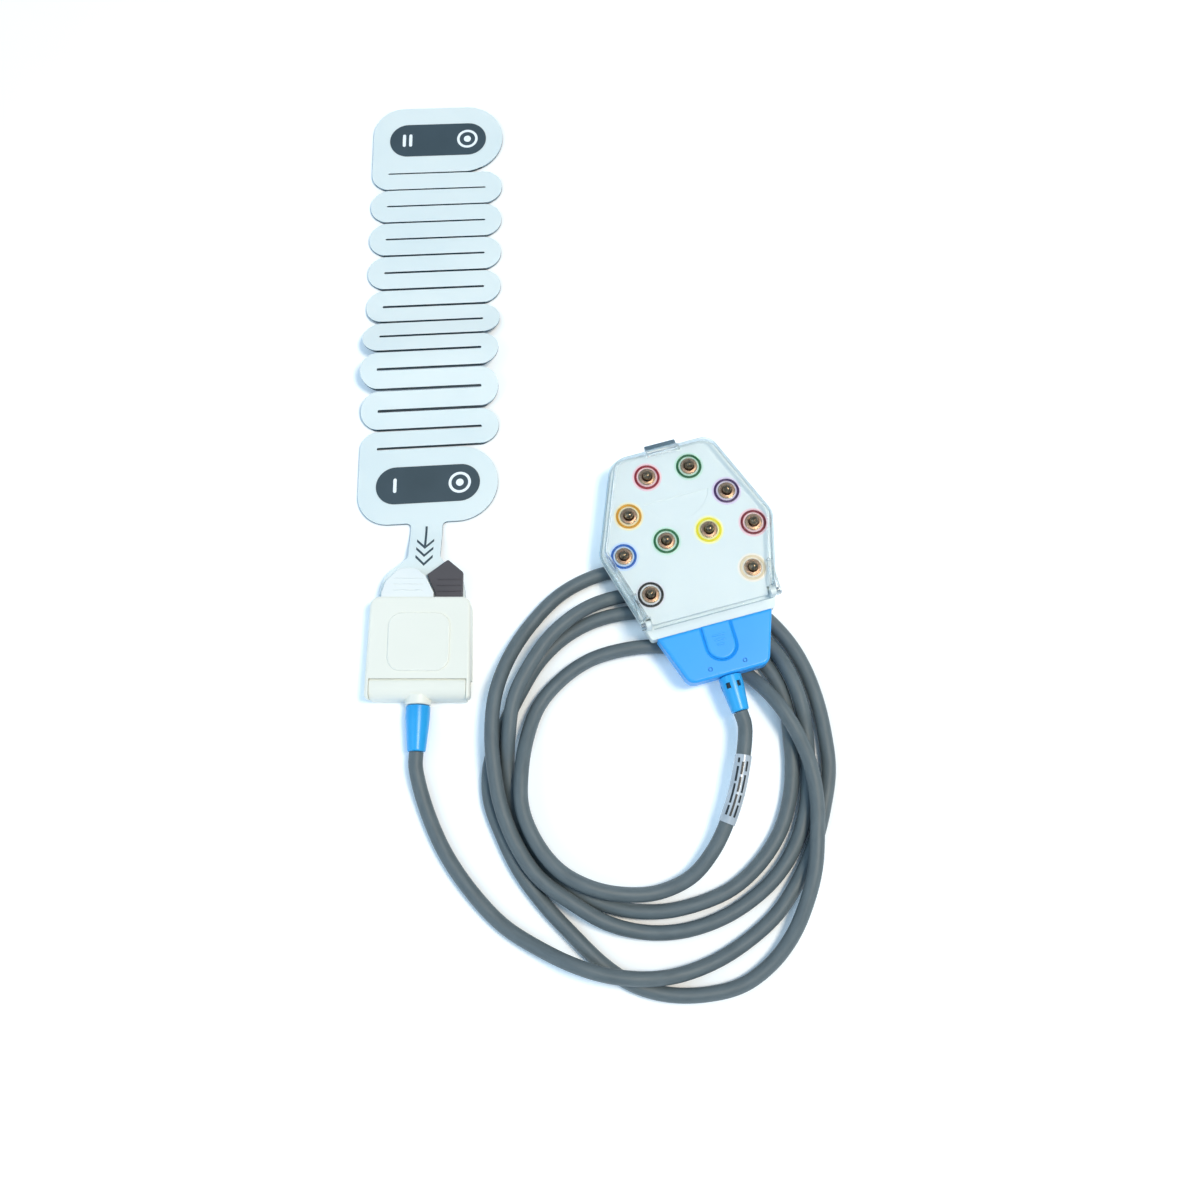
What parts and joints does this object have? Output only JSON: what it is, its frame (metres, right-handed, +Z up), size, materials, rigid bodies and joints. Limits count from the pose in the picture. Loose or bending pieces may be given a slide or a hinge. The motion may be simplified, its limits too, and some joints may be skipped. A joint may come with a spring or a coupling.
{
  "type": "wearable ecg monitor",
  "caption": "Serpentine adhesive electrode patch in a hinged clip connector, with a looped trunk cable and a plug-on snap-stud lead adapter under a clear hinged cover.",
  "frame": {"origin": "on the table, under the middle of the box round the rigid pieces and the patch, without the cable and its label", "axes": "+Y along the patch, from the clip towards the patch's far pad; +Z up from the table; +X from the patch towards the snap adapter"},
  "size_m": [0.2048, 0.4094, 0.022],
  "materials": {
    "foam": "matte foam",
    "gel": "translucent gel on film",
    "pad_print": "printed",
    "white_housing": "satin",
    "dark_plastic": "fine matte",
    "silicone": "matte",
    "circuit_board": "solder mask",
    "contact_rubber": "matte",
    "steel": "turned",
    "blue_plastic": "satin",
    "cable_jacket": "smooth matte",
    "wrap_label": "laminated film",
    "tongue_plastic": "satin",
    "adapter_housing": "satin",
    "resistor_black": "moulded",
    "clear_plastic": "clear polycarbonate",
    "stud_metal": "gold plated",
    "ring_black": "printed ring",
    "ring_cream": "printed ring",
    "ring_green_lower": "printed ring",
    "ring_yellow": "printed ring",
    "ring_blue": "printed ring",
    "ring_red_right": "printed ring",
    "ring_orange": "printed ring",
    "ring_purple": "printed ring",
    "ring_red_left": "printed ring",
    "ring_green_upper": "printed ring"
  },
  "bodies": {
    "trunk": {"clip_base": "white_housing", "clip_board": "circuit_board", "clip_contact_strip": "contact_rubber", "clip_hinge_pin": "steel", "clip_strain_relief": "blue_plastic", "trunk_cable": "cable_jacket", "cable_label": "wrap_label", "plug_bottom": "blue_plastic", "plug_top": "blue_plastic", "plug_tongue": "tongue_plastic", "plug_strain_relief": "blue_plastic"},
    "patch": {"patch_carrier": "foam", "electrode_film": "gel", "lower_pad_label": "pad_print", "upper_pad_label": "pad_print"},
    "clip_jaws": {"clip_lid": "white_housing", "clip_jaw": "dark_plastic", "jaw_pressure_pad": "silicone"},
    "release_button": {"release_button": "blue_plastic"},
    "snap_adapter": {"adapter_shell": "adapter_housing", "adapter_plate": "adapter_housing", "adapter_circuit": "circuit_board", "adapter_socket": "dark_plastic", "resistor_pack_left": "resistor_black", "resistor_pack_right": "resistor_black", "shell_screw_rear_left": "steel", "shell_screw_rear_right": "steel", "shell_screw_front_left": "steel", "shell_screw_front_right": "steel", "snap_stud_black": "stud_metal", "snap_stud_cream": "stud_metal", "snap_stud_green_lower": "stud_metal", "snap_stud_yellow": "stud_metal", "snap_stud_blue": "stud_metal", "snap_stud_red_right": "stud_metal", "snap_stud_orange": "stud_metal", "snap_stud_purple": "stud_metal", "snap_stud_red_left": "stud_metal", "snap_stud_green_upper": "stud_metal", "lead_ring_black": "ring_black", "lead_ring_cream": "ring_cream", "lead_ring_green_lower": "ring_green_lower", "lead_ring_yellow": "ring_yellow", "lead_ring_blue": "ring_blue", "lead_ring_red_right": "ring_red_right", "lead_ring_orange": "ring_orange", "lead_ring_purple": "ring_purple", "lead_ring_red_left": "ring_red_left", "lead_ring_green_upper": "ring_green_upper", "cover_hinge_pin_left": "steel", "cover_hinge_pin_right": "steel"},
    "cover": {"clear_cover": "clear_plastic"},
    "latch": {"cover_latch": "clear_plastic"}
  },
  "joints": [
    {"name": "clip_hinge", "type": "hinge", "parent": "trunk", "child": "clip_jaws", "pos_m": [-0.0591, -0.12775, 0.0088], "axis": [1, 0, 0], "range_deg": [0, 70]},
    {"name": "patch_pull", "type": "slide", "parent": "trunk", "child": "patch", "axis": [0, 1, 0], "range_m": [0, 0.025]},
    {"name": "button_press", "type": "slide", "parent": "trunk", "child": "release_button", "axis": [0, 0, -1], "range_m": [0, 0.0012], "stiffness_N_per_m": 400},
    {"name": "adapter_pull", "type": "slide", "parent": "trunk", "child": "snap_adapter", "axis": [-0.2672, 0.9636, 0], "range_m": [0, 0.014]},
    {"name": "cover_hinge", "type": "hinge", "parent": "snap_adapter", "child": "cover", "pos_m": [0.06224, -0.09764, 0.0188], "axis": [0.9636, 0.2672, 0], "range_deg": [0, 115]},
    {"name": "latch_flex", "type": "hinge", "parent": "cover", "child": "latch", "pos_m": [0.04348, -0.03, 0.0214], "axis": [0.9636, 0.2672, 0], "range_deg": [0, 8], "stiffness_Nm_per_rad": 0.3}
  ]
}
